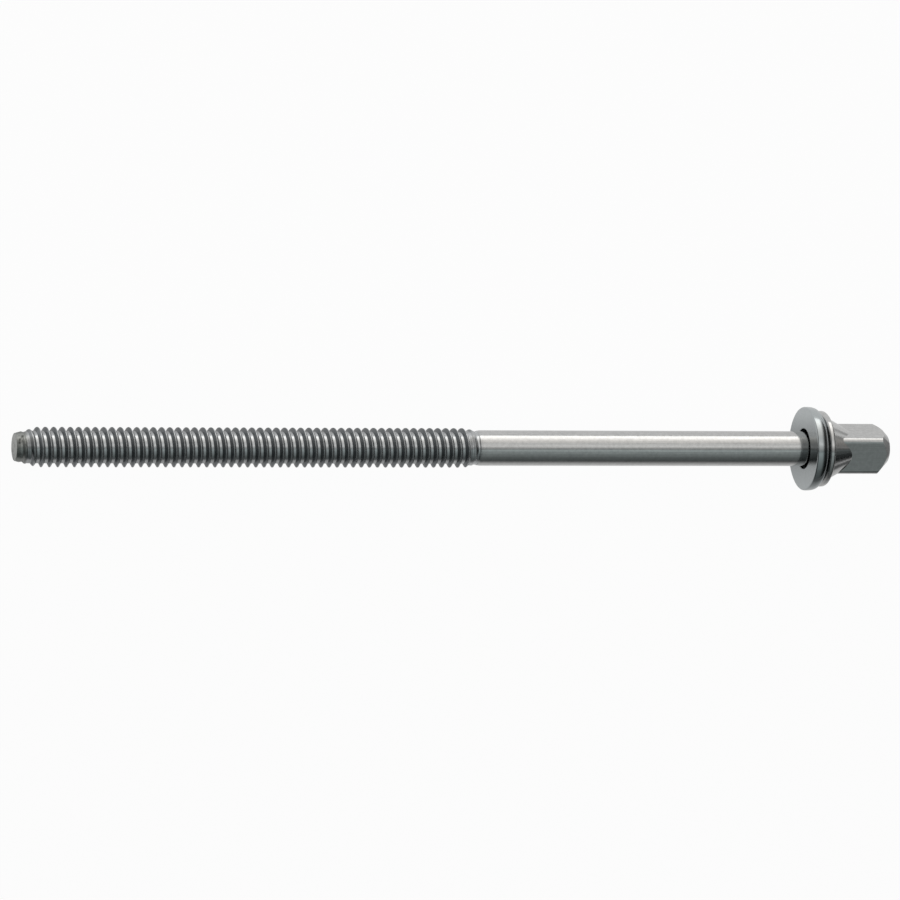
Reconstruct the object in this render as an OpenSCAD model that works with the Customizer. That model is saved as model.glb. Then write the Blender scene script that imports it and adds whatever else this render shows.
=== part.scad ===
// Square-headed tension rod with its loose flat washer, in millimetres.
// The rod lies along X: tip towards -X, head towards +X, the washer's bearing face at x = 0.

/* [Rod] */
// Length from the flange's seat to the tip
rod_length = 127; // [115:1:140]
// Diameter of the plain shank
shank_d = 5.4; // [5.3:0.05:5.6]
// Edge broken at the shank's threaded end
shank_edge = 0.22; // [0.15:0.01:0.28]

/* [Thread] */
// Length from the tip to the shank
thread_length = 71.4; // [60:0.1:80]
// Distance between crests
thread_pitch = 1.27; // [1.2:0.01:1.35]
// Diameter over the crests
thread_d = 6.14; // [6:0.02:6.3]
// Diameter at the roots
root_d = 4.84; // [4.7:0.02:4.95]
// Diameter of the flat face at the tip
tip_d = 4.05; // [3.9:0.05:4.3]
// Half angle of the cone that leads the thread in
lead_angle = 16; // [14:0.5:20]
// Turn of the first crest about the rod
thread_phase = 285; // [0:5:355]

/* [Flange] */
// Diameter over the rim
flange_d = 11.8; // [11.4:0.05:12.2]
// Thickness
flange_t = 1.4; // [1.2:0.05:1.6]
// Height of the bevel under the rim
bevel_t = 0.66; // [0.5:0.02:0.7]
// Depth of the same bevel
bevel_w = 0.6; // [0.4:0.02:0.8]
// Radius of the rolled edge on the head's side
rim_round = 0.36; // [0.3:0.02:0.45]

/* [Head] */
// Height of the square above the flange
head_height = 10.3; // [9:0.1:11]
// Width across the flats
square_w = 6.2; // [6:0.05:6.4]
// Radius of the square's long edges
square_edge = 0.75; // [0.5:0.05:1]
// Turn of the square about the rod
square_turn = 26; // [0:1:89]
// Diameter of the flat that the end chamfer leaves
end_d = 4.7; // [4:0.1:5.5]
// Angle of the end chamfer from the end face
end_angle = 40; // [35:1:50]
// Diameter of the conical neck at the flange
neck_d = 10.2; // [9.8:0.05:10.4]
// Half angle of the neck
neck_angle = 28; // [26:0.5:30]

/* [Washer] */
// Outer diameter
washer_d = 13; // [12.6:0.05:13.5]
// Play of the hole over the thread that it has to pass
hole_play = 0.12; // [0.1:0.02:0.5]
// Thickness
washer_t = 1.9; // [1.75:0.05:2.3]
// Radius of the edge round the bearing face
washer_round = 0.25; // [0.15:0.01:0.35]
// Length of the rolled edge towards the flange
roll_t = 1.2; // [0.9:0.05:1.35]
// Depth of the same rolled edge
roll_w = 0.5; // [0.3:0.05:0.7]
// Edge broken at the hole
hole_edge = 0.12; // [0.05:0.01:0.2]

/* [Hidden] */
round_steps = 96;
edge_steps = 4;
roll_steps = 6;
turn_steps = 20;
step_angle = 360 / turn_steps;
steel = [0.76, 0.77, 0.78];
plate = [0.80, 0.81, 0.82];

shank_r = shank_d / 2;
crest_r = thread_d / 2;
root_r = root_d / 2;
tip_r = tip_d / 2;
shank_length = rod_length - thread_length;
hole_r = (thread_d + hole_play) / 2;
// The fillet under the flange stays inside the washer's hole.
fillet_r = 0.8 * (hole_r - shank_r);

// One pitch of the thread: root flat, rising flank, crest flat, falling flank.
flank_w = (crest_r - root_r) * tan(30);
crest_w = thread_pitch / 8;
root_w = thread_pitch - 2 * flank_w - crest_w;
corner_at = [0, root_w, root_w + flank_w, root_w + flank_w + crest_w];
corner_is_crest = [false, false, true, true];
corners = len(corner_at);

// The first row of the helix stands just clear of the end face.
first_row = 0.12;
// The crest sinks to the shank's size over this length, then drops into the last groove.
fade_length = 2.1 * thread_pitch;
drop_length = 0.3 * thread_pitch;
groove_w = 0.5;
fade_end = thread_length - groove_w - drop_length;
buried_turns = 1.5;
thread_turns = ceil(thread_length / thread_pitch + buried_turns);
last_row = thread_turns * turn_steps;
faded_r = shank_r + 0.06;

// Height of a crest at a distance from the tip.
function crest_at(s) =
    s < fade_end - fade_length ? crest_r :
    s < fade_end ? crest_r + (faded_r - crest_r) * (s - fade_end + fade_length) / fade_length :
    s < fade_end + drop_length ? faded_r + (root_r - faded_r) * (s - fade_end) / drop_length :
    root_r;

// Radius of one corner of the thread, kept inside the lead cone.
function thread_r(s, crest) = min(crest ? crest_at(s) : root_r, tip_r + s * tan(lead_angle));

// A point on the thread at a row of the helix and a corner of its profile.
function thread_point(row, corner) =
    let (
        s = first_row + thread_pitch * row / turn_steps + corner_at[corner],
        a = thread_phase + row * step_angle,
        r = thread_r(s, corner_is_crest[corner])
    )
    [r * cos(a), r * sin(a), s];

// Index of a point; the corner after the last is the first one a turn later.
function at(row, corner) =
    corner < corners ? row * corners + corner : (row + turn_steps) * corners;

// Points and faces of the threaded end, from the tip's flat face to the end buried in the shank.
row_points = [for (row = [0:last_row]) for (c = [0:corners - 1]) thread_point(row, c)];
tip_ring = len(row_points);
ring_points = [
    for (k = [0:turn_steps - 1])
        let (a = thread_phase + k * step_angle)
        [tip_r * cos(a), tip_r * sin(a), 0]
];
tip_centre = tip_ring + turn_steps;
buried_centre = tip_centre + 1;
thread_points = concat(
    row_points, ring_points,
    [[0, 0, 0], [0, 0, first_row + thread_pitch * thread_turns]]
);

strip_faces = [
    for (row = [0:last_row - 1])
        for (c = [0:corners - 1])
            let (wraps = c == corners - 1)
            if (!wraps || row + 1 + turn_steps <= last_row)
                for (f = [
                    [at(row, c), at(row, c + 1), at(row + 1, c)],
                    [at(row + 1, c), at(row, c + 1), at(row + 1, c + 1)]
                ]) f
];
cone_faces = [
    for (k = [0:turn_steps - 2])
        for (f = [
            [tip_ring + k, at(k, 0), tip_ring + k + 1],
            [tip_ring + k + 1, at(k, 0), at(k + 1, 0)]
        ]) f
];
// The cone's last sector meets the start of the helix along one line of corners.
seam = turn_steps - 1;
seam_line = [tip_ring, at(0, 0), at(0, 1), at(0, 2), at(0, 3), at(turn_steps, 0)];
seam_faces = concat(
    [[tip_ring + seam, at(seam, 0), tip_ring]],
    [for (k = [0:len(seam_line) - 2]) [at(seam, 0), seam_line[k + 1], seam_line[k]]]
);
tip_faces = [for (k = [0:seam]) [tip_centre, tip_ring + k, tip_ring + (k + 1) % turn_steps]];
buried_loop = concat(
    [for (row = [last_row - turn_steps:last_row]) at(row, corners - 1)],
    [for (c = [corners - 2:-1:0]) at(last_row, c)]
);
buried_faces = [
    for (k = [0:len(buried_loop) - 1])
        [buried_centre, buried_loop[(k + 1) % len(buried_loop)], buried_loop[k]]
];
thread_faces = concat(strip_faces, cone_faces, seam_faces, tip_faces, buried_faces);

// Quarter-round corner of a profile, from a start angle.
function rounded(centre, r, start) = [
    for (k = [0:edge_steps])
        let (a = start + 90 * k / edge_steps)
        centre + r * [cos(a), sin(a)]
];

// Lays a piece that was drawn along Z down along X.
module along_x() {
    rotate([0, 90, 0]) children();
}

module threaded_end() {
    translate([0, 0, -rod_length])
        polyhedron(points = thread_points, faces = thread_faces, convexity = 10);
}

module turned_blank() {
    neck_r = neck_d / 2;
    neck_end_r = square_w / 2 - 0.2;
    neck_length = (neck_r - neck_end_r) / tan(neck_angle);
    rim_r = flange_d / 2;
    fillet = rounded([shank_r + fillet_r, -fillet_r], fillet_r, 90);
    rotate_extrude($fn = round_steps)
        polygon([
            [0, -shank_length],
            [shank_r - shank_edge, -shank_length],
            [shank_r, -shank_length + shank_edge],
            for (k = [edge_steps:-1:0]) fillet[k],
            [rim_r - bevel_w, 0],
            [rim_r, bevel_t],
            for (p = rounded([rim_r - rim_round, flange_t - rim_round], rim_round, 0)) p,
            [neck_r, flange_t],
            [neck_end_r, flange_t + neck_length],
            [0, flange_t + neck_length]
        ]);
}

module square_head() {
    half = square_w / 2;
    core = half - square_edge;
    start = flange_t / 2;
    top = flange_t + head_height;
    end_r = end_d / 2;
    reach = half * sqrt(2) + 1;
    intersection() {
        rotate(square_turn)
            translate([0, 0, start])
                linear_extrude(height = top - start)
                    polygon(concat(
                        rounded([core, core], square_edge, 0),
                        rounded([-core, core], square_edge, 90),
                        rounded([-core, -core], square_edge, 180),
                        rounded([core, -core], square_edge, 270)
                    ));
        rotate_extrude($fn = round_steps)
            polygon([
                [0, 0],
                [reach, 0],
                [reach, top - (reach - end_r) * tan(end_angle)],
                [end_r, top],
                [0, top]
            ]);
    }
}

module tension_rod() {
    color(steel)
        along_x()
            translate([0, 0, washer_t]) {
                threaded_end();
                turned_blank();
                square_head();
            }
}

module washer() {
    outer_r = washer_d / 2;
    core_r = outer_r - washer_round;
    color(plate)
        along_x()
            rotate_extrude($fn = round_steps)
                polygon(concat(
                    [[hole_r, hole_edge], [hole_r + hole_edge, 0]],
                    rounded([core_r, washer_round], washer_round, -90),
                    [
                        for (k = [0:roll_steps])
                            let (a = 90 * k / roll_steps)
                            [outer_r - roll_w * (1 - cos(a)), washer_t - roll_t * (1 - sin(a))]
                    ],
                    [[hole_r + hole_edge, washer_t], [hole_r, washer_t - hole_edge]]
                ));
}

tension_rod();
washer();
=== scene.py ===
"""Dresses a square-headed drum tension rod and its loose washer for a studio picture."""

import logging
import math
from collections.abc import Callable, Sequence
from dataclasses import dataclass, field
from enum import Enum
from typing import Any

import bpy
from mathutils import Matrix, Vector


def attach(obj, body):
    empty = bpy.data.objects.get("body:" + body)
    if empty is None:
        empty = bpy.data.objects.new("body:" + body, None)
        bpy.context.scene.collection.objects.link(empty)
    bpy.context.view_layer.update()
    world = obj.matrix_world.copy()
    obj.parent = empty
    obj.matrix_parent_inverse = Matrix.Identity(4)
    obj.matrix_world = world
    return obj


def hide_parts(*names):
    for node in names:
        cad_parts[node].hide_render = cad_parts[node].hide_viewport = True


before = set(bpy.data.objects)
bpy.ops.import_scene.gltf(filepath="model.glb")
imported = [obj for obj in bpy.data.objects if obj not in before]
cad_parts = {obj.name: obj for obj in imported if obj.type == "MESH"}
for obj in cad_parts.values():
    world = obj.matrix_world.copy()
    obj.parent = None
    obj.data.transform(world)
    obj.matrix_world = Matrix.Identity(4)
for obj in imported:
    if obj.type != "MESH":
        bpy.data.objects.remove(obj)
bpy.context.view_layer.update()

LOG = logging.getLogger("tension_rod")
MM = 0.001
# Pieces are modelled in millimetres and brought to metres at the end, so that no operator's
# own threshold is coarse against the thread.
MERGE_MM = 0.0002
SLICE_MM = MERGE_MM / 10
RIM_MM = 0.01

Point = tuple[float, float]
Corner = tuple[float, float, float]
Span = tuple[float, float]

# Settings that several nodes share.
EASED = {"interpolation_type": "SMOOTHSTEP"}
COLOURS = {"data_type": "RGBA"}
MULTIPLY = {"operation": "MULTIPLY"}
MULTIPLY_ADD = {"operation": "MULTIPLY_ADD"}
# Colour sockets of a Mix node, which share their names with its other sockets.
FIRST = 6
SECOND = 7
MIXED = 2


class Slot(Enum):
    """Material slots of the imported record."""

    ROD = "rod_plate"
    WASHER = "washer_plate"


class Cast(Enum):
    """Colour cast of the light from one side of the studio."""

    WARM = (1.02, 1.0, 0.97)
    NEUTRAL = (1.0, 1.0, 0.99)
    COOL = (0.89, 1.0, 1.0)


def linear(hex_colour: str) -> tuple[float, float, float, float]:
    """Turns an sRGB hex colour into linear light.

    Args:
        hex_colour: Six hex digits, with or without a leading hash.

    Returns:
        Red, green, blue and alpha, linear.
    """
    digits = hex_colour.lstrip("#")
    values = [int(digits[k : k + 2], 16) / 255 for k in (0, 2, 4)]
    light = [v / 12.92 if v <= 0.04045 else ((v + 0.055) / 1.055) ** 2.4 for v in values]
    return light[0], light[1], light[2], 1.0


def add_node(
    tree: bpy.types.NodeTree,
    kind: str,
    settings: dict[str, Any] | None = None,
    inputs: dict[str | int, Any] | None = None,
    stops: Sequence[tuple[float, Sequence[float]]] = (),
) -> bpy.types.Node:
    """Adds a shader node with its settings and links.

    Args:
        tree: Node tree that takes the node.
        kind: Blender's name for the node's type.
        settings: Properties of the node itself.
        inputs: Value for each input; an output socket is linked.
        stops: Place from 0 to 1 and light of each stop, on a node with a colour ramp.

    Returns:
        The new node.
    """
    node = tree.nodes.new(kind)
    for name, value in (settings or {}).items():
        setattr(node, name, value)
    for key, value in (inputs or {}).items():
        if isinstance(value, bpy.types.NodeSocket):
            tree.links.new(value, node.inputs[key])
        else:
            node.inputs[key].default_value = value
    if stops:
        elements = node.color_ramp.elements
        elements.remove(elements[-1])
        for k, (place, light) in enumerate(stops):
            stop = elements[0] if k == 0 else elements.new(place)
            stop.position = place
            stop.color = (*light, 1)
    return node


def start_metal(name: str) -> bpy.types.Material:
    """Makes a material that is all metal.

    Args:
        name: Name of the new material.

    Returns:
        The material, without its finish.
    """
    material = bpy.data.materials.new(name)
    material.use_nodes = True
    shader = material.node_tree.nodes["Principled BSDF"]
    shader.inputs["Metallic"].default_value = 1.0
    return material


def finish_metal(
    material: bpy.types.Material,
    colour: bpy.types.NodeSocket,
    roughness: bpy.types.NodeSocket,
    normal: bpy.types.NodeSocket,
) -> None:
    """Links a metal's finish to its shader.

    Args:
        material: Material that takes the finish.
        colour: Colour of the metal.
        roughness: Roughness of its surface.
        normal: Normal with the surface's relief.
    """
    tree = material.node_tree
    shader = tree.nodes["Principled BSDF"]
    tree.links.new(colour, shader.inputs["Base Color"])
    tree.links.new(roughness, shader.inputs["Roughness"])
    tree.links.new(normal, shader.inputs["Normal"])


def smooth_step(low: float, high: float, value: float) -> float:
    """Rises smoothly from 0 at low to 1 at high.

    Args:
        low: Value where the rise starts.
        high: Value where it ends.
        value: Where it is read.

    Returns:
        A number from 0 to 1.
    """
    t = min(max((value - low) / (high - low), 0.0), 1.0)
    return t * t * (3 - 2 * t)


def arc(centre: Point, radius: float, start: float, end: float, steps: int) -> list[Point]:
    """Points on an arc in the plane of a turned profile.

    Args:
        centre: Centre as (along, radius), in millimetres.
        radius: Radius of the arc.
        start: First angle in degrees, from the along direction towards the radius.
        end: Last angle in degrees.
        steps: Number of chords.

    Returns:
        The points, ends included.
    """
    points = []
    for k in range(steps + 1):
        a = math.radians(start + (end - start) * k / steps)
        points.append((centre[0] + radius * math.cos(a), centre[1] + radius * math.sin(a)))
    return points


def ease_corners(corners: Sequence[Corner], steps: int = 8) -> list[Point]:
    """Rounds the corners of a turned profile.

    Args:
        corners: Corners as (along, radius, cut), where the cut is the length that the rounding
            takes off each side of the corner. The first and last stay as they are.
        steps: Number of chords in each rounding.

    Returns:
        The profile's points.
    """
    points = [corners[0][:2]]
    for before, corner, after in zip(corners, corners[1:], corners[2:]):
        here = Vector(corner[:2])
        start = here + (Vector(before[:2]) - here).normalized() * corner[2]
        end = here + (Vector(after[:2]) - here).normalized() * corner[2]
        for k in range(steps + 1):
            share = k / steps
            point = start.lerp(here, share).lerp(here.lerp(end, share), share)
            points.append((point.x, point.y))
    points.append(corners[-1][:2])
    return points


def only(piece: bpy.types.Object) -> None:
    """Makes a piece the only selected object, and the active one.

    Args:
        piece: Object to select.
    """
    bpy.ops.object.select_all(action="DESELECT")
    piece.select_set(True)
    bpy.context.view_layer.objects.active = piece


def start_profile(name: str, points: Sequence[Point]) -> bpy.types.Object:
    """Draws a profile as a chain of edges above the X axis.

    Args:
        name: Name of the new object.
        points: Profile as (along, radius), in millimetres.

    Returns:
        The new object, in object mode.
    """
    bpy.ops.object.select_all(action="DESELECT")
    bpy.ops.mesh.primitive_plane_add(size=1)
    piece = bpy.context.object
    piece.name = name
    bpy.ops.object.mode_set(mode="EDIT")
    bpy.ops.mesh.select_mode(type="VERT")
    bpy.ops.mesh.select_all(action="SELECT")
    bpy.ops.mesh.merge(type="CENTER")
    bpy.ops.transform.translate(value=(points[0][0], 0, points[0][1]))
    for (x0, r0), (x1, r1) in zip(points, points[1:]):
        bpy.ops.mesh.extrude_vertices_move(TRANSFORM_OT_translate={"value": (x1 - x0, 0, r1 - r0)})
    bpy.ops.object.mode_set(mode="OBJECT")
    return piece


def apply_modifier(piece: bpy.types.Object, kind: str, settings: dict[str, Any]) -> None:
    """Adds a modifier to a piece and applies it.

    Args:
        piece: Object that takes the modifier.
        kind: Blender's name for the modifier's type.
        settings: Properties of the modifier.
    """
    only(piece)
    modifier = piece.modifiers.new(kind.title(), kind)
    for name, value in settings.items():
        setattr(modifier, name, value)
    bpy.ops.object.modifier_apply(modifier=modifier.name)


def merge_and_face_out(piece: bpy.types.Object) -> None:
    """Merges doubled points of a piece and turns its faces outwards.

    Args:
        piece: Object modelled in millimetres.
    """
    only(piece)
    bpy.ops.object.mode_set(mode="EDIT")
    bpy.ops.mesh.select_all(action="SELECT")
    bpy.ops.mesh.remove_doubles(threshold=MERGE_MM)
    bpy.ops.mesh.normals_make_consistent(inside=False)
    bpy.ops.object.mode_set(mode="OBJECT")


def select_edges(piece: bpy.types.Object, wanted: Callable[[Vector, Vector], bool]) -> None:
    """Selects the edges of a piece by the places of their ends, and leaves it in edit mode.

    Args:
        piece: Object whose edges are chosen.
        wanted: Says from an edge's two ends whether it is selected.
    """
    only(piece)
    bpy.ops.object.mode_set(mode="EDIT")
    bpy.ops.mesh.select_mode(type="EDGE")
    bpy.ops.mesh.select_all(action="DESELECT")
    bpy.ops.object.mode_set(mode="OBJECT")
    points = piece.data.vertices
    for edge in piece.data.edges:
        ends = [points[k].co for k in edge.vertices]
        edge.select = wanted(ends[0], ends[1])
    bpy.ops.object.mode_set(mode="EDIT")


def select_rim(piece: bpy.types.Object, place: float) -> None:
    """Selects the open rim of a piece at a place along X, and leaves the piece in edit mode.

    Args:
        piece: Object with an open end.
        place: Place of the open end along X, in millimetres.
    """
    only(piece)
    bpy.ops.object.mode_set(mode="EDIT")
    bpy.ops.mesh.select_mode(type="EDGE")
    bpy.ops.mesh.select_all(action="DESELECT")
    bpy.ops.mesh.select_non_manifold(
        use_wire=False, use_multi_face=False, use_non_contiguous=False, use_verts=False
    )
    bpy.ops.object.mode_set(mode="OBJECT")
    points = piece.data.vertices
    for edge in piece.data.edges:
        near = all(abs(points[k].co.x - place) < RIM_MM for k in edge.vertices)
        edge.select = edge.select and near
    bpy.ops.object.mode_set(mode="EDIT")


def grow_rings(rings: Sequence[Point], start: Point) -> None:
    """Extrudes the selected round edge loop from ring to ring along X, in edit mode.

    Args:
        rings: Rings as (along, radius), in millimetres.
        start: Place and radius of the loop that is selected.
    """
    x0, r0 = start
    for x1, r1 in rings:
        bpy.ops.mesh.extrude_edges_move(TRANSFORM_OT_translate={"value": (x1 - x0, 0, 0)})
        k = r1 / r0
        bpy.ops.transform.resize(value=(1, k, k), center_override=(x1, 0, 0))
        x0, r0 = x1, r1


def to_metres(piece: bpy.types.Object, sharp_angle: float) -> None:
    """Brings a piece from millimetres to metres and smooths its shading.

    Args:
        piece: Object modelled in millimetres.
        sharp_angle: Edges that turn more than this, in degrees, stay sharp.
    """
    only(piece)
    piece.scale = (MM, MM, MM)
    bpy.ops.object.transform_apply(location=True, rotation=True, scale=True)
    bpy.ops.object.shade_smooth_by_angle(angle=math.radians(sharp_angle))
    apply_modifier(piece, "WEIGHTED_NORMAL", {"keep_sharp": True, "weight": 50})


@dataclass(frozen=True)
class RodPlate:
    """Bright nickel plate over a drawn and thread-rolled steel rod. Millimetres.

    The shank is bright with a faint grain along it. On the thread the lug's nut scuffs the flanks
    towards the head, which spread the light; the flanks towards the tip are coloured darker as
    painted shade. The turned point is dull, with dark marks from the cutting tool.
    """

    shank_hex: str = "C4C4C3"
    thread_hex: str = "C0C2C3"
    # Painted shade on the thread's flanks that face the tip.
    tip_flank_shade_hex: str = "7E8183"
    point_hex: str = "A0A29F"
    mark_hex: str = "4A4B49"
    roughness: float = 0.09
    thread_roughness: float = 0.17
    scuffed_roughness: float = 0.5
    point_roughness: float = 0.3
    # Roughness that the mottle adds at most.
    rough_spread: float = 0.08
    # The thread's finish and the point's each pass into the next one along these stretches.
    thread_to: Span = (-53.5, -53.0)
    point_to: Span = (-123.8, -123.3)
    # Part of a flank's normal that lies along the rod, where its wear and its painted shade start
    # and where they are full.
    flank_lean: Span = (0.35, 0.75)
    # Draw lines are about 0.02 mm wide; drawn at 0.12 mm so that they show in the picture.
    line_width: float = 0.12
    line_length: float = 9.0
    line_detail: float = 3.0
    line_depth: float = 0.02
    mottle: float = 0.55
    mottle_detail: float = 4.0
    mottle_depth: float = 0.03
    relief: float = 0.12
    mark: float = 0.9
    mark_detail: float = 3.0
    mark_limits: Span = (0.5, 0.72)
    # How far the draw lines and the mottle lighten and darken the plate, between these limits.
    streak: float = 0.06
    speck: float = 0.08
    grain_limits: Span = (0.3, 0.7)
    # Painted shade darkens the joint between flange and washer, where shadow falls: its two edges
    # along the rod.
    joint_shade_from: Span = (0.2, 0.4)
    joint_shade_to: Span = (2.2, 2.4)
    joint_shade_factor: float = 0.7

    def material(self) -> bpy.types.Material:
        """Builds the rod's material.

        Returns:
            The new material.
        """
        material = start_metal("nickel_plated_rolled_steel")
        tree = material.node_tree
        surface = add_node(tree, "ShaderNodeTexCoord")
        place = surface.outputs["Object"]
        along, lean = (
            add_node(tree, "ShaderNodeSeparateXYZ", inputs={"Vector": vector}).outputs["X"]
            for vector in (place, surface.outputs["Normal"])
        )
        threaded, pointed = (
            add_node(
                tree,
                "ShaderNodeMapRange",
                EASED,
                {
                    "Value": along,
                    "From Min": start * MM,
                    "From Max": end * MM,
                    "To Min": 1.0,
                    "To Max": 0.0,
                },
            ).outputs["Result"]
            for start, end in (self.thread_to, self.point_to)
        )
        lines = self.draw_lines(tree, place)
        mottle = add_node(
            tree,
            "ShaderNodeTexNoise",
            inputs={
                "Vector": place,
                "Scale": 1 / (self.mottle * MM),
                "Detail": self.mottle_detail,
            },
        ).outputs["Fac"]
        # The colour takes the grain and the painted shade in the joint.
        shade = add_node(
            tree,
            "ShaderNodeMath",
            MULTIPLY,
            {0: self.grain(tree, lines, mottle), 1: self.joint_shade(tree, along)},
        ).outputs["Value"]
        colour = add_node(
            tree,
            "ShaderNodeVectorMath",
            {"operation": "SCALE"},
            {"Vector": self.colour(tree, place, lean, threaded, pointed), "Scale": shade},
        ).outputs["Vector"]
        rough = add_node(
            tree,
            "ShaderNodeMath",
            MULTIPLY_ADD,
            {0: mottle, 1: self.rough_spread, 2: self.wear(tree, lean, threaded, pointed)},
        ).outputs["Value"]
        drawn = add_node(
            tree,
            "ShaderNodeBump",
            inputs={"Height": lines, "Strength": self.relief, "Distance": self.line_depth * MM},
        ).outputs["Normal"]
        pitted = add_node(
            tree,
            "ShaderNodeBump",
            inputs={
                "Height": mottle,
                "Strength": self.relief,
                "Distance": self.mottle_depth * MM,
                "Normal": drawn,
            },
        ).outputs["Normal"]
        finish_metal(material, colour, rough, pitted)
        return material

    def draw_lines(
        self, tree: bpy.types.NodeTree, place: bpy.types.NodeSocket
    ) -> bpy.types.NodeSocket:
        """Stretches a noise along the rod, as drawing the wire leaves it.

        Args:
            tree: Node tree of the material.
            place: Place on the rod.

        Returns:
            The lines, about 0.5 on average.
        """
        across = 1 / (self.line_width * MM)
        stretched = add_node(
            tree,
            "ShaderNodeMapping",
            inputs={"Vector": place, "Scale": (1 / (self.line_length * MM), across, across)},
        ).outputs["Vector"]
        return add_node(
            tree,
            "ShaderNodeTexNoise",
            inputs={"Vector": stretched, "Scale": 1.0, "Detail": self.line_detail},
        ).outputs["Fac"]

    def colour(
        self,
        tree: bpy.types.NodeTree,
        place: bpy.types.NodeSocket,
        lean: bpy.types.NodeSocket,
        threaded: bpy.types.NodeSocket,
        pointed: bpy.types.NodeSocket,
    ) -> bpy.types.NodeSocket:
        """Colours shank, thread and point, with painted shade on the thread's flanks that face the
        tip.

        Args:
            tree: Node tree of the material.
            place: Place on the rod.
            lean: Part of the normal that lies along the rod.
            threaded: Share of the thread's finish.
            pointed: Share of the point's finish.

        Returns:
            The colour before its grain.
        """
        # Painted shade: the thread's flanks that face the tip take a darker colour.
        start, full = self.flank_lean
        tip_flank_shade = add_node(
            tree,
            "ShaderNodeMapRange",
            EASED,
            {"Value": lean, "From Min": -full, "From Max": -start, "To Min": 1.0, "To Max": 0.0},
        ).outputs["Result"]
        marks = add_node(
            tree,
            "ShaderNodeTexNoise",
            inputs={"Vector": place, "Scale": 1 / (self.mark * MM), "Detail": self.mark_detail},
        ).outputs["Fac"]
        low, high = self.mark_limits
        marked = add_node(
            tree, "ShaderNodeMapRange", EASED, {"Value": marks, "From Min": low, "From Max": high}
        ).outputs["Result"]
        rolled, cut = (
            add_node(
                tree,
                "ShaderNodeMix",
                COLOURS,
                {"Factor": share, FIRST: linear(bright_hex), SECOND: linear(dark_hex)},
            ).outputs[MIXED]
            for share, bright_hex, dark_hex in (
                (tip_flank_shade, self.thread_hex, self.tip_flank_shade_hex),
                (marked, self.point_hex, self.mark_hex),
            )
        )
        colour: Any = linear(self.shank_hex)
        for share, finish in ((threaded, rolled), (pointed, cut)):
            colour = add_node(
                tree, "ShaderNodeMix", COLOURS, {"Factor": share, FIRST: colour, SECOND: finish}
            ).outputs[MIXED]
        return colour

    def wear(
        self,
        tree: bpy.types.NodeTree,
        lean: bpy.types.NodeSocket,
        threaded: bpy.types.NodeSocket,
        pointed: bpy.types.NodeSocket,
    ) -> bpy.types.NodeSocket:
        """Roughens the thread, its scuffed flanks and the point.

        Args:
            tree: Node tree of the material.
            lean: Part of the normal that lies along the rod.
            threaded: Share of the thread's finish.
            pointed: Share of the point's finish.

        Returns:
            The roughness before the mottle.
        """
        start, full = self.flank_lean
        to_head = add_node(
            tree, "ShaderNodeMapRange", EASED, {"Value": lean, "From Min": start, "From Max": full}
        ).outputs["Result"]
        scuffed = add_node(
            tree, "ShaderNodeMath", MULTIPLY, {0: to_head, 1: threaded}
        ).outputs["Value"]
        worn: Any = self.roughness
        for share, roughness in (
            (threaded, self.thread_roughness),
            (scuffed, self.scuffed_roughness),
            (pointed, self.point_roughness),
        ):
            worn = add_node(
                tree,
                "ShaderNodeMapRange",
                inputs={"Value": share, "To Min": worn, "To Max": roughness},
            ).outputs["Result"]
        return worn

    def grain(
        self,
        tree: bpy.types.NodeTree,
        lines: bpy.types.NodeSocket,
        mottle: bpy.types.NodeSocket,
    ) -> bpy.types.NodeSocket:
        """Lightens and darkens the plate by its draw lines and its mottle.

        Args:
            tree: Node tree of the material.
            lines: The draw lines.
            mottle: The mottle.

        Returns:
            Factor for the colour.
        """
        low, high = self.grain_limits
        streaks, specks = (
            add_node(
                tree,
                "ShaderNodeMapRange",
                inputs={
                    "Value": noise,
                    "From Min": low,
                    "From Max": high,
                    "To Min": 1 - depth,
                    "To Max": 1 + depth,
                },
            ).outputs["Result"]
            for noise, depth in ((lines, self.streak), (mottle, self.speck))
        )
        return add_node(
            tree, "ShaderNodeMath", MULTIPLY, {0: streaks, 1: specks}
        ).outputs["Value"]

    def joint_shade(
        self, tree: bpy.types.NodeTree, along: bpy.types.NodeSocket
    ) -> bpy.types.NodeSocket:
        """Paints shade into the joint between flange and washer.

        Args:
            tree: Node tree of the material.
            along: Place along the rod.

        Returns:
            Factor for the colour.
        """
        far_edge = add_node(
            tree,
            "ShaderNodeMapRange",
            EASED,
            {
                "Value": along,
                "From Min": self.joint_shade_to[0] * MM,
                "From Max": self.joint_shade_to[1] * MM,
                "To Min": self.joint_shade_factor,
                "To Max": 1.0,
            },
        ).outputs["Result"]
        return add_node(
            tree,
            "ShaderNodeMapRange",
            EASED,
            {
                "Value": along,
                "From Min": self.joint_shade_from[0] * MM,
                "From Max": self.joint_shade_from[1] * MM,
                "To Min": 1.0,
                "To Max": far_edge,
            },
        ).outputs["Result"]


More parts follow.
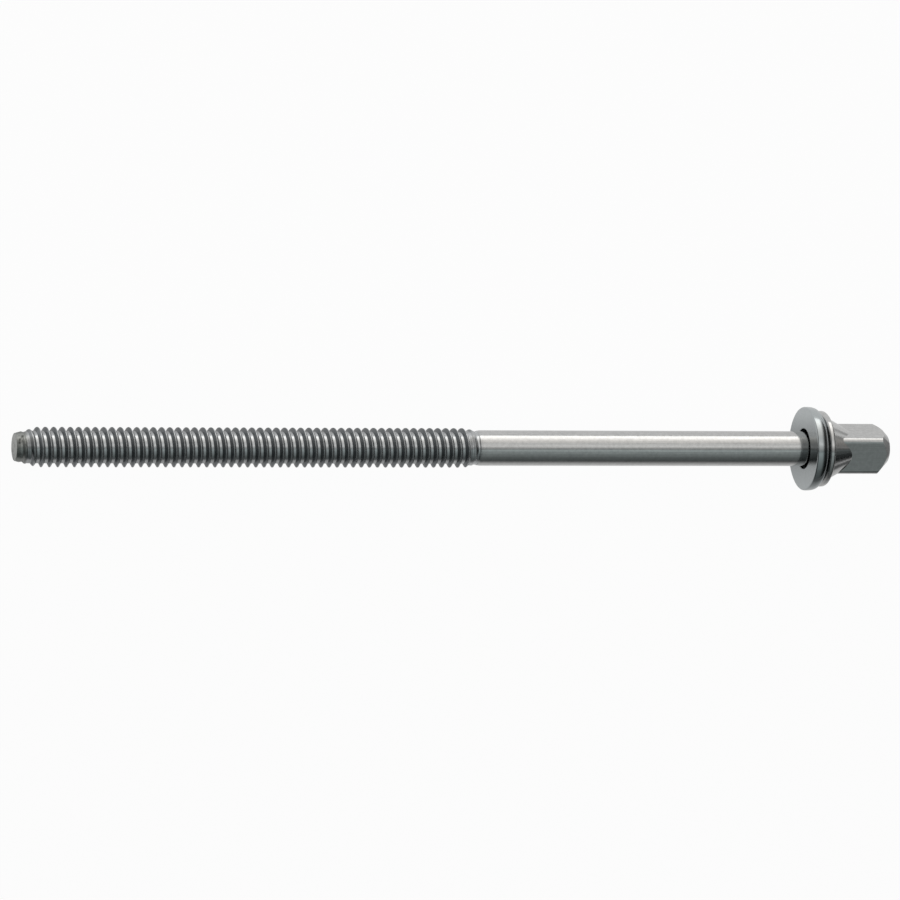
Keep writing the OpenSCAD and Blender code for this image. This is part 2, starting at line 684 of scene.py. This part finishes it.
@dataclass(frozen=True)
class WasherPlate:
    """Bright plate over a pressed washer: mirror faces, uneven after the press. Millimetres."""

    face_hex: str = "B6BBBC"
    # Painted shade in the joint starts here, on the rolled edge towards the flange.
    joint_shade_hex: str = "94999B"
    joint_shade_from: Span = (1.5, 1.9)
    roughness: float = 0.11
    # Roughness that the grain adds at most.
    rough_spread: float = 0.08
    wave: float = 2.4
    wave_detail: float = 1.0
    wave_relief: float = 0.25
    wave_depth: float = 0.2
    grain: float = 0.3
    grain_detail: float = 4.0
    grain_relief: float = 0.1
    grain_depth: float = 0.01

    def material(self) -> bpy.types.Material:
        """Builds the washer's material.

        Returns:
            The new material.
        """
        material = start_metal("bright_plated_pressed_steel")
        tree = material.node_tree
        place = add_node(tree, "ShaderNodeTexCoord").outputs["Object"]
        axes = add_node(tree, "ShaderNodeSeparateXYZ", inputs={"Vector": place})
        # Painted shade on the rolled edge towards the flange, where the joint lies in shadow.
        joint_shade = add_node(
            tree,
            "ShaderNodeMapRange",
            EASED,
            {
                "Value": axes.outputs["X"],
                "From Min": self.joint_shade_from[0] * MM,
                "From Max": self.joint_shade_from[1] * MM,
            },
        ).outputs["Result"]
        colour = add_node(
            tree,
            "ShaderNodeMix",
            COLOURS,
            {"Factor": joint_shade, FIRST: linear(self.face_hex), SECOND: linear(self.joint_shade_hex)},
        ).outputs[MIXED]
        wave, grain = (
            add_node(
                tree,
                "ShaderNodeTexNoise",
                inputs={"Vector": place, "Scale": 1 / (size * MM), "Detail": detail},
            ).outputs["Fac"]
            for size, detail in ((self.wave, self.wave_detail), (self.grain, self.grain_detail))
        )
        rough = add_node(
            tree,
            "ShaderNodeMath",
            MULTIPLY_ADD,
            {0: grain, 1: self.rough_spread, 2: self.roughness},
        ).outputs["Value"]
        uneven = add_node(
            tree,
            "ShaderNodeBump",
            inputs={
                "Height": wave,
                "Strength": self.wave_relief,
                "Distance": self.wave_depth * MM,
            },
        ).outputs["Normal"]
        grainy = add_node(
            tree,
            "ShaderNodeBump",
            inputs={
                "Height": grain,
                "Strength": self.grain_relief,
                "Distance": self.grain_depth * MM,
                "Normal": uneven,
            },
        ).outputs["Normal"]
        finish_metal(material, colour, rough, grainy)
        return material


@dataclass
class RolledThread:
    """Form of the rolled right-hand thread, with its lead cone and its run-out. Millimetres."""

    pitch: float = 1.27
    crest_r: float = 3.02
    root_r: float = 2.42
    flank_angle: float = 30.0
    crest_half: float = 0.06
    crest_round: float = 0.08
    root_round: float = 0.11
    round_steps: int = 4
    length: float = 71.95
    # Distance of a crest from the tip along the rod's upper side.
    first_crest: float = -0.04
    lead_r: float = 2.065
    lead_slope: float = 0.272
    # Depth that the groove keeps where it runs out on the lead cone, and where it starts there.
    lead_groove: float = 0.2
    lead_groove_from: Span = (0.6, 1.2)
    # The ridges sink towards the blank's radius, keep a low swell, and are gone before the end.
    blank_r: float = 2.7
    fade_from: float = 69.75
    fade_to: float = 70.65
    left_over: float = 0.3
    swell: float = 0.06
    gone_before_end: float = 0.7
    # A last groove and a shoulder close the thread; places are distances before its end.
    end_groove: float = 0.17
    groove_before_end: Span = (0.9, 0.6)
    shoulder: float = 0.06
    shoulder_before_end: Span = (0.3, 0.05)

    def profile(self) -> list[Point]:
        """One pitch of the thread from root to root, with rounded crest and root.

        Returns:
            Points as (along, radius).
        """
        lean = math.tan(math.radians(self.flank_angle))
        flank_w = (self.crest_r - self.root_r) * lean
        root_half = self.pitch / 2 - flank_w - self.crest_half
        root_t = self.root_round * lean
        crest_t = self.crest_round * lean
        root_centre = (root_half - root_t, self.root_r + self.root_round)
        crest_x = self.pitch / 2 - self.crest_half + crest_t
        crest_centre = (crest_x, self.crest_r - self.crest_round)
        half = [(0.0, self.root_r)]
        half += arc(root_centre, self.root_round, -90, -self.flank_angle, self.round_steps)
        half += arc(crest_centre, self.crest_round, 180 - self.flank_angle, 90, self.round_steps)
        half.append((self.pitch / 2, self.crest_r))
        return half + [(self.pitch - x, r) for x, r in reversed(half[:-1])]

    def settled_radius(self, along: float, radius: float) -> float:
        """Radius of a point once the lead cone and the run-out are worked in.

        Args:
            along: Distance from the tip.
            radius: Radius on the endless thread.

        Returns:
            The radius on this rod.
        """
        fade = smooth_step(self.fade_from, self.fade_to, along)
        gone = smooth_step(self.fade_to, self.length - self.gone_before_end, along)
        height = 1 - (1 - self.left_over) * fade - self.left_over * gone
        settled = self.blank_r + (radius - self.blank_r) * height
        settled += self.swell * fade * (1 - gone)
        groove, rise = (
            smooth_step(self.length - start, self.length - end, along)
            for start, end in (self.groove_before_end, self.shoulder_before_end)
        )
        settled -= self.end_groove * (groove - rise) + self.shoulder * rise
        sunk = (self.crest_r - radius) / (self.crest_r - self.root_r)
        cone = self.lead_r + self.lead_slope * max(along, 0.0)
        cone -= self.lead_groove * sunk * smooth_step(*self.lead_groove_from, along)
        return min(settled, cone)


@dataclass
class SquareHead:
    """Square for the drum key, with rounded long edges and a chamfered end. Millimetres."""

    width: float = 6.2
    edge_round: float = 0.75
    edge_steps: int = 8
    turn: float = 26.0
    end_d: float = 4.6
    end_angle: float = 45.0
    turn_steps: int = 96
    # Edges that turn more than the angle, in degrees, are broken by this width.
    broken_edge: float = 0.22
    broken_steps: int = 4
    broken_angle: float = 34.0

    def build(self, start: float, end: float) -> bpy.types.Object:
        """Models the square as a solid of its own.

        Args:
            start: Place of its buried end along X.
            end: Place of its free end along X.

        Returns:
            The square, in millimetres.
        """
        length = end - start
        middle = (start + end) / 2
        bpy.ops.object.select_all(action="DESELECT")
        bpy.ops.mesh.primitive_cube_add(
            size=1,
            location=(middle, 0, 0),
            rotation=(math.radians(self.turn), 0, 0),
            scale=(length, self.width, self.width),
        )
        square = bpy.context.object
        square.name = "key_square"
        bpy.ops.object.transform_apply(location=True, rotation=True, scale=True)
        select_edges(square, lambda a, b: abs(a.x - b.x) > length / 2)
        bpy.ops.mesh.bevel(offset=self.edge_round, segments=self.edge_steps, profile=0.5)
        bpy.ops.object.mode_set(mode="OBJECT")
        end_r = self.end_d / 2
        bpy.ops.object.select_all(action="DESELECT")
        bpy.ops.mesh.primitive_cone_add(
            vertices=self.turn_steps,
            radius1=end_r + length / math.tan(math.radians(self.end_angle)),
            radius2=end_r,
            depth=length,
            location=(middle, 0, 0),
            rotation=(0, math.pi / 2, 0),
        )
        turning = bpy.context.object
        bpy.ops.object.transform_apply(location=True, rotation=True, scale=True)
        apply_modifier(
            square,
            "BOOLEAN",
            {"operation": "INTERSECT", "solver": "EXACT", "object": turning},
        )
        bpy.data.objects.remove(turning)
        merge_and_face_out(square)
        apply_modifier(
            square,
            "BEVEL",
            {
                "width": self.broken_edge,
                "segments": self.broken_steps,
                "limit_method": "ANGLE",
                "angle_limit": math.radians(self.broken_angle),
            },
        )
        return square


@dataclass
class TensionRod:
    """The rod: lead cone, thread, plain shank, flange, conical neck and square head. Millimetres."""

    seat: float = 1.9
    tip: float = -125.1
    head_end: float = 13.6
    shank_r: float = 2.7
    # Length of the slope from the thread's shoulder up to the shank, and the cut that rounds it.
    slope_length: float = 0.3
    slope_round: float = 0.2
    fillet: float = 0.34
    flange_r: float = 5.9
    flange_t: float = 1.4
    bevel_t: float = 0.66
    bevel_w: float = 0.6
    rim_round: float = 0.36
    soft_edge: float = 0.08
    neck_r: float = 5.1
    neck_angle: float = 28.0
    neck_end_r: float = 2.9
    tip_edge: float = 0.1
    tip_steps: int = 6
    turn_steps: int = 64
    spare_turns: int = 3
    sharp_angle: float = 18.0
    thread: RolledThread = field(default_factory=RolledThread)
    head: SquareHead = field(default_factory=SquareHead)
    plate: RodPlate = field(default_factory=RodPlate)

    def build(self) -> bpy.types.Object:
        """Models the rod from its thread to its head.

        Returns:
            The finished rod.
        """
        rod = self.roll_thread()
        self.close_tip(rod)
        self.turn_shank(rod)
        square = self.head.build(self.seat + self.flange_t / 2, self.head_end)
        apply_modifier(
            rod, "BOOLEAN", {"operation": "UNION", "solver": "EXACT", "object": square}
        )
        bpy.data.objects.remove(square)
        merge_and_face_out(rod)
        to_metres(rod, self.sharp_angle)
        return rod

    def roll_thread(self) -> bpy.types.Object:
        """Winds the thread's profile along the rod and cuts it to length.

        Returns:
            The threaded stretch, open at both ends.
        """
        form = self.thread
        crest_to_root = form.first_crest - form.pitch / 2
        start = self.tip + crest_to_root - form.pitch
        rod = start_profile("rod", [(start + x, r) for x, r in form.profile()])
        apply_modifier(
            rod,
            "SCREW",
            {
                "axis": "X",
                "angle": 2 * math.pi,
                "screw_offset": form.pitch,
                "iterations": math.ceil(form.length / form.pitch) + self.spare_turns,
                "steps": self.turn_steps,
                "render_steps": self.turn_steps,
            },
        )
        merge_and_face_out(rod)
        # No operator fades a thread, so its points are moved to the settled radius in code.
        for point in rod.data.vertices:
            radius = math.hypot(point.co.y, point.co.z)
            ratio = form.settled_radius(point.co.x - self.tip, radius) / radius
            point.co.y *= ratio
            point.co.z *= ratio
        only(rod)
        bpy.ops.object.mode_set(mode="EDIT")
        for place, inner in ((self.tip + self.tip_edge, True), (self.tip + form.length, False)):
            bpy.ops.mesh.select_all(action="SELECT")
            bpy.ops.mesh.bisect(
                plane_co=(place, 0, 0),
                plane_no=(1, 0, 0),
                clear_inner=inner,
                clear_outer=not inner,
                threshold=SLICE_MM,
            )
        bpy.ops.object.mode_set(mode="OBJECT")
        return rod

    def close_tip(self, rod: bpy.types.Object) -> None:
        """Rounds the tip's edge and closes its flat face.

        Args:
            rod: The rod, open at its tip.
        """
        place = self.tip + self.tip_edge
        select_rim(rod, place)
        start_r = self.thread.lead_r + self.thread.lead_slope * self.tip_edge
        lean = math.atan(self.thread.lead_slope)
        radius = self.tip_edge / (1 - math.sin(lean))
        centre = (self.tip + radius, start_r - radius * math.cos(lean))
        rings = arc(centre, radius, 90 + math.degrees(lean), 180, self.tip_steps)[1:]
        grow_rings(rings, (place, start_r))
        bpy.ops.mesh.edge_face_add()
        bpy.ops.object.mode_set(mode="OBJECT")

    def turn_shank(self, rod: bpy.types.Object) -> None:
        """Draws the shank, flange and neck out of the thread's open end.

        Args:
            rod: The rod, open at the thread's end.
        """
        place = self.tip + self.thread.length
        select_rim(rod, place)
        seat = self.seat
        back = seat + self.flange_t
        neck_length = (self.neck_r - self.neck_end_r) / math.tan(math.radians(self.neck_angle))
        start_r = self.shank_r - self.thread.shoulder
        rings = ease_corners(
            [
                (place, start_r, 0),
                (place + self.slope_length, self.shank_r, self.slope_round),
                (seat, self.shank_r, self.fillet),
                (seat, self.flange_r - self.bevel_w, self.soft_edge),
                (seat + self.bevel_t, self.flange_r, self.soft_edge),
                (back, self.flange_r, self.rim_round),
                (back, self.neck_r, self.soft_edge),
                (back + neck_length, self.neck_end_r, 0),
            ]
        )[1:]
        grow_rings(rings, (place, start_r))
        bpy.ops.mesh.edge_face_add()
        bpy.ops.object.mode_set(mode="OBJECT")
        merge_and_face_out(rod)

    def dress(self, rod: bpy.types.Object) -> None:
        """Gives the rod its plate and its place in the frame.

        Args:
            rod: The finished rod.
        """
        rod.data.materials.clear()
        rod.data.materials.append(self.plate.material())
        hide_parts("tension_rod")
        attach(rod, "root")


@dataclass
class Washer:
    """The loose pressed washer against the flange. Millimetres."""

    outer_r: float = 6.5
    hole_r: float = 3.13
    thickness: float = 1.9
    outer_round: float = 0.25
    outer_steps: int = 10
    roll_t: float = 1.2
    roll_w: float = 0.5
    roll_steps: int = 14
    hole_round: float = 0.12
    hole_steps: int = 6
    # Rings in the flat faces, this far from their edges, keep the faces' shading flat.
    inner_margin: float = 0.1
    outer_margin: float = 0.2
    turn_steps: int = 128
    sharp_angle: float = 24.0
    plate: WasherPlate = field(default_factory=WasherPlate)

    def section(self) -> list[Point]:
        """Draws the washer's section as a closed chain.

        Returns:
            Points as (along, radius).
        """
        t = self.thickness
        core = self.outer_r - self.outer_round
        bore = self.hole_r + self.hole_round
        rolled_r = self.outer_r - self.roll_w
        points = arc((self.hole_round, bore), self.hole_round, 270, 180, self.hole_steps)
        points.append((0.0, bore + self.inner_margin))
        points.append((0.0, core - self.outer_margin))
        points += arc((self.outer_round, core), self.outer_round, 180, 90, self.outer_steps)
        for x, r in arc((0.0, 0.0), 1.0, 90, 0, self.roll_steps):
            points.append((t - self.roll_t * (1 - x), self.outer_r - self.roll_w * (1 - r)))
        points.append((t, rolled_r - self.outer_margin))
        points.append((t, bore + self.inner_margin))
        points += arc((t - self.hole_round, bore), self.hole_round, 0, -90, self.hole_steps)
        points.append(points[0])
        return points

    def build(self) -> bpy.types.Object:
        """Turns the washer's section once round the rod.

        Returns:
            The finished washer.
        """
        washer = start_profile("loose_washer", self.section())
        apply_modifier(
            washer,
            "SCREW",
            {
                "axis": "X",
                "angle": 2 * math.pi,
                "screw_offset": 0.0,
                "iterations": 1,
                "steps": self.turn_steps,
                "render_steps": self.turn_steps,
                "use_merge_vertices": True,
                "merge_threshold": MERGE_MM,
            },
        )
        merge_and_face_out(washer)
        to_metres(washer, self.sharp_angle)
        return washer

    def dress(self, washer: bpy.types.Object) -> None:
        """Gives the washer its plate and its place in the frame.

        Args:
            washer: The finished washer.
        """
        washer.data.materials.clear()
        washer.data.materials.append(self.plate.material())
        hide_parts("washer")
        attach(washer, "root")


@dataclass
class Table:
    """White table top under the rod, which lies on its washer and its tip."""

    # Side of the table top and the two points that it touches, in metres.
    size: float = 6.0
    washer_rim: Vector = field(default_factory=lambda: Vector((0.5, 0, -6.5)) * MM)
    tip_crest: Vector = field(default_factory=lambda: Vector((-120.5, 0, -3.07)) * MM)
    far_hex: str = "D8D8D8"
    # Painted shade: the table's colour on the near side and in the rod's shadow.
    near_shade_hex: str = "606366"
    # Share of plain white in what the camera sees of the table.
    seen_share: float = 0.97
    # Share of plain white in what the plate mirrors, by distance across the table in millimetres:
    # dim on the near side, where no lamp reaches it, and in the rod's own shadow.
    mirrored: tuple[Point, ...] = (
        (-60, 0.07),
        (-30, 0.2),
        (-18, 0.34),
        (-12, 0.5),
        (-6, 0.6),
        (-3.5, 0.5),
        (-1.5, 0.33),
        (1.5, 0.33),
        (3.5, 0.5),
        (5.5, 0.67),
        (9, 0.7),
        (20, 0.75),
    )
    # Stretches along the table, in millimetres, where the shadow widens past the head, ends
    # again farther on, and ends in front of the tip; with how far each moves the shares above.
    turns: tuple[tuple[float, float, float], ...] = (
        (22.0, 32.0, -40.0),
        (60.0, 80.0, 84.0),
        (-125.4, -125.8, 13.0),
    )
    # Contact shadow where the thread lies close to the table: how dark it is, its reach across
    # the table and where it ends along it, in millimetres.
    contact: float = 0.7
    contact_reach: Span = (9.0, 17.0)
    contact_end: Span = (-56.0, -53.0)

    def build(self) -> None:
        """Adds the table top as part of the stage."""
        lie = self.washer_rim - self.tip_crest
        slope = math.atan2(-lie.z, lie.x)
        bpy.ops.object.select_all(action="DESELECT")
        bpy.ops.mesh.primitive_plane_add(
            size=self.size, location=self.washer_rim, rotation=(0, slope, 0)
        )
        top = bpy.context.object
        top.name = "table_top"
        top.data.materials.append(self.material())

    def open_share(self, tree: bpy.types.NodeTree) -> bpy.types.NodeSocket:
        """Says how open to the light each place on the table is.

        Args:
            tree: Node tree of the material.

        Returns:
            Share of plain white.
        """
        place = add_node(tree, "ShaderNodeTexCoord").outputs["Object"]
        axes = add_node(tree, "ShaderNodeSeparateXYZ", inputs={"Vector": place})
        along = axes.outputs["X"]
        across = axes.outputs["Y"]
        for start, end, shift in self.turns:
            moved = add_node(
                tree,
                "ShaderNodeMapRange",
                EASED,
                {
                    "Value": along,
                    "From Min": start * MM,
                    "From Max": end * MM,
                    "To Max": shift * MM,
                },
            ).outputs["Result"]
            across = add_node(
                tree, "ShaderNodeMath", {"operation": "ADD"}, {0: across, 1: moved}
            ).outputs["Value"]
        low = self.mirrored[0][0]
        high = self.mirrored[-1][0]
        reach = add_node(
            tree,
            "ShaderNodeMapRange",
            inputs={"Value": across, "From Min": low * MM, "From Max": high * MM},
        ).outputs["Result"]
        mirrored = add_node(
            tree,
            "ShaderNodeValToRGB",
            inputs={"Fac": reach},
            stops=[((y - low) / (high - low), [share] * 3) for y, share in self.mirrored],
        ).outputs["Color"]
        aside = add_node(
            tree, "ShaderNodeMath", {"operation": "ABSOLUTE"}, {0: across}
        ).outputs["Value"]
        shade: Any = self.contact
        for value, (start, end) in ((aside, self.contact_reach), (along, self.contact_end)):
            shade = add_node(
                tree,
                "ShaderNodeMapRange",
                EASED,
                {
                    "Value": value,
                    "From Min": start * MM,
                    "From Max": end * MM,
                    "To Min": shade,
                    "To Max": 1.0,
                },
            ).outputs["Result"]
        return add_node(
            tree, "ShaderNodeMath", MULTIPLY, {0: mirrored, 1: shade}
        ).outputs["Value"]

    def material(self) -> bpy.types.Material:
        """Builds the matt white table top, which stays white to the camera and keeps a soft shadow.

        Returns:
            The new material.
        """
        material = bpy.data.materials.new("matt_white_table")
        material.use_nodes = True
        tree = material.node_tree
        tree.nodes.clear()
        far = self.open_share(tree)
        # The table's colour is mixed by the same share, so the near side's shade and the rod's
        # shadow are painted into it.
        paint = add_node(
            tree,
            "ShaderNodeMix",
            COLOURS,
            {"Factor": far, FIRST: linear(self.near_shade_hex), SECOND: linear(self.far_hex)},
        ).outputs[MIXED]
        matt = add_node(tree, "ShaderNodeBsdfDiffuse", inputs={"Color": paint})
        white = add_node(
            tree, "ShaderNodeEmission", inputs={"Color": (1, 1, 1, 1), "Strength": 1.0}
        )
        rays = add_node(tree, "ShaderNodeLightPath").outputs
        mirrored = add_node(
            tree,
            "ShaderNodeMath",
            {"operation": "MAXIMUM"},
            {0: rays["Is Glossy Ray"], 1: rays["Is Transmission Ray"]},
        ).outputs["Value"]
        seen = add_node(
            tree, "ShaderNodeMath", MULTIPLY, {0: rays["Is Camera Ray"], 1: self.seen_share}
        ).outputs["Value"]
        # What the plate mirrors of the table glows by the open share: painted shade and painted
        # shadow in the reflection.
        share = add_node(
            tree, "ShaderNodeMath", MULTIPLY_ADD, {0: mirrored, 1: far, 2: seen}
        ).outputs["Value"]
        mix = add_node(
            tree,
            "ShaderNodeMixShader",
            inputs={0: share, 1: matt.outputs["BSDF"], 2: white.outputs["Emission"]},
        )
        add_node(
            tree, "ShaderNodeOutputMaterial", inputs={"Surface": mix.outputs["Shader"]}
        )
        return material


@dataclass
class Studio:
    """Soft light round the table: bright from the far side, dim towards the near side."""

    # Angle from overhead towards the far side, in degrees, with the light that comes from there.
    tones: tuple[tuple[float, float, Cast], ...] = (
        (-90, 0.10, Cast.COOL),
        (-80, 0.12, Cast.COOL),
        (-63, 0.16, Cast.COOL),
        (-56, 0.22, Cast.COOL),
        (-41, 0.28, Cast.COOL),
        (-28, 0.36, Cast.COOL),
        (-14, 0.50, Cast.COOL),
        (-8, 0.29, Cast.COOL),
        (-1, 0.47, Cast.NEUTRAL),
        (5, 0.65, Cast.NEUTRAL),
        (12, 1.0, Cast.NEUTRAL),
        (18, 0.85, Cast.NEUTRAL),
        (32, 0.75, Cast.NEUTRAL),
        (39, 0.87, Cast.WARM),
        (46, 0.96, Cast.WARM),
        (53, 1.09, Cast.WARM),
        (60, 1.33, Cast.WARM),
        (76, 1.9, Cast.WARM),
        (90, 1.9, Cast.NEUTRAL),
    )
    # Place between the tip's side, -1, and the head's side, 1, with the light's share there.
    sides: tuple[Point, ...] = (
        (-1.0, 0.3),
        (-0.5, 0.3),
        (-0.2, 0.55),
        (0.05, 1.0),
        (0.4, 1.0),
        (0.5, 0.6),
        (0.6, 0.1),
        (0.7, 0.04),
        (0.84, 0.04),
        (0.92, 0.16),
        (1.0, 0.36),
    )

    def build(self) -> None:
        """Makes the world that surrounds the table."""
        world = bpy.data.worlds.new("studio")
        world.use_nodes = True
        bpy.context.scene.world = world
        tree = world.node_tree
        tree.nodes.clear()
        towards = add_node(tree, "ShaderNodeTexCoord").outputs["Generated"]
        axes = add_node(tree, "ShaderNodeSeparateXYZ", inputs={"Vector": towards}).outputs
        angle = add_node(
            tree, "ShaderNodeMath", {"operation": "ARCTAN2"}, {0: axes["Y"], 1: axes["Z"]}
        ).outputs["Value"]
        tones = [
            ((degrees + 90) / 180, [tone * share for share in cast.value])
            for degrees, tone, cast in self.tones
        ]
        sides = [((x + 1) / 2, [share] * 3) for x, share in self.sides]
        shares = []
        for value, limit, stops in ((angle, math.pi / 2, tones), (axes["X"], 1.0, sides)):
            reach = add_node(
                tree,
                "ShaderNodeMapRange",
                inputs={"Value": value, "From Min": -limit, "From Max": limit},
            ).outputs["Result"]
            ramp = add_node(tree, "ShaderNodeValToRGB", inputs={"Fac": reach}, stops=stops)
            shares.append(ramp.outputs["Color"])
        both = add_node(tree, "ShaderNodeVectorMath", MULTIPLY, {0: shares[0], 1: shares[1]})
        light = add_node(
            tree,
            "ShaderNodeBackground",
            inputs={"Color": both.outputs["Vector"], "Strength": 1.0},
        )
        add_node(
            tree, "ShaderNodeOutputWorld", inputs={"Surface": light.outputs["Background"]}
        )
        bpy.context.scene.view_settings.view_transform = "Standard"


@dataclass
class Camera:
    """Long lens above the rod, leaning towards the tip. Millimetres and degrees."""

    lens: float = 205.0
    sensor: float = 36.0
    distance: float = 780.5
    lean: float = 17.0
    roll: float = 0.115
    # The point it aims at and the depths between which it sees, in metres.
    aim: Vector = field(default_factory=lambda: Vector((-57.44, -0.32, 0)) * MM)
    depths: Span = (0.01, 20.0)

    def build(self) -> None:
        """Adds the camera and makes it the scene's own."""
        turn = Matrix.Rotation(math.radians(-self.lean), 4, "Y")
        turn = turn @ Matrix.Rotation(math.radians(self.roll), 4, "Z")
        back = turn @ Vector((0, 0, self.distance * MM))
        bpy.ops.object.camera_add(location=self.aim + back, rotation=turn.to_euler())
        camera = bpy.context.object
        camera.data.lens = self.lens
        camera.data.sensor_width = self.sensor
        camera.data.clip_start, camera.data.clip_end = self.depths
        bpy.context.scene.camera = camera


def main() -> None:
    """Builds the rod, the washer and the studio."""
    logging.basicConfig(level=logging.INFO, format="%(name)s: %(message)s")
    Camera().build()
    for maker in (TensionRod(), Washer()):
        piece = maker.build()
        maker.dress(piece)
        LOG.info("%s: %d faces", piece.name, len(piece.data.polygons))
    Table().build()
    Studio().build()


if __name__ == "__main__":
    main()
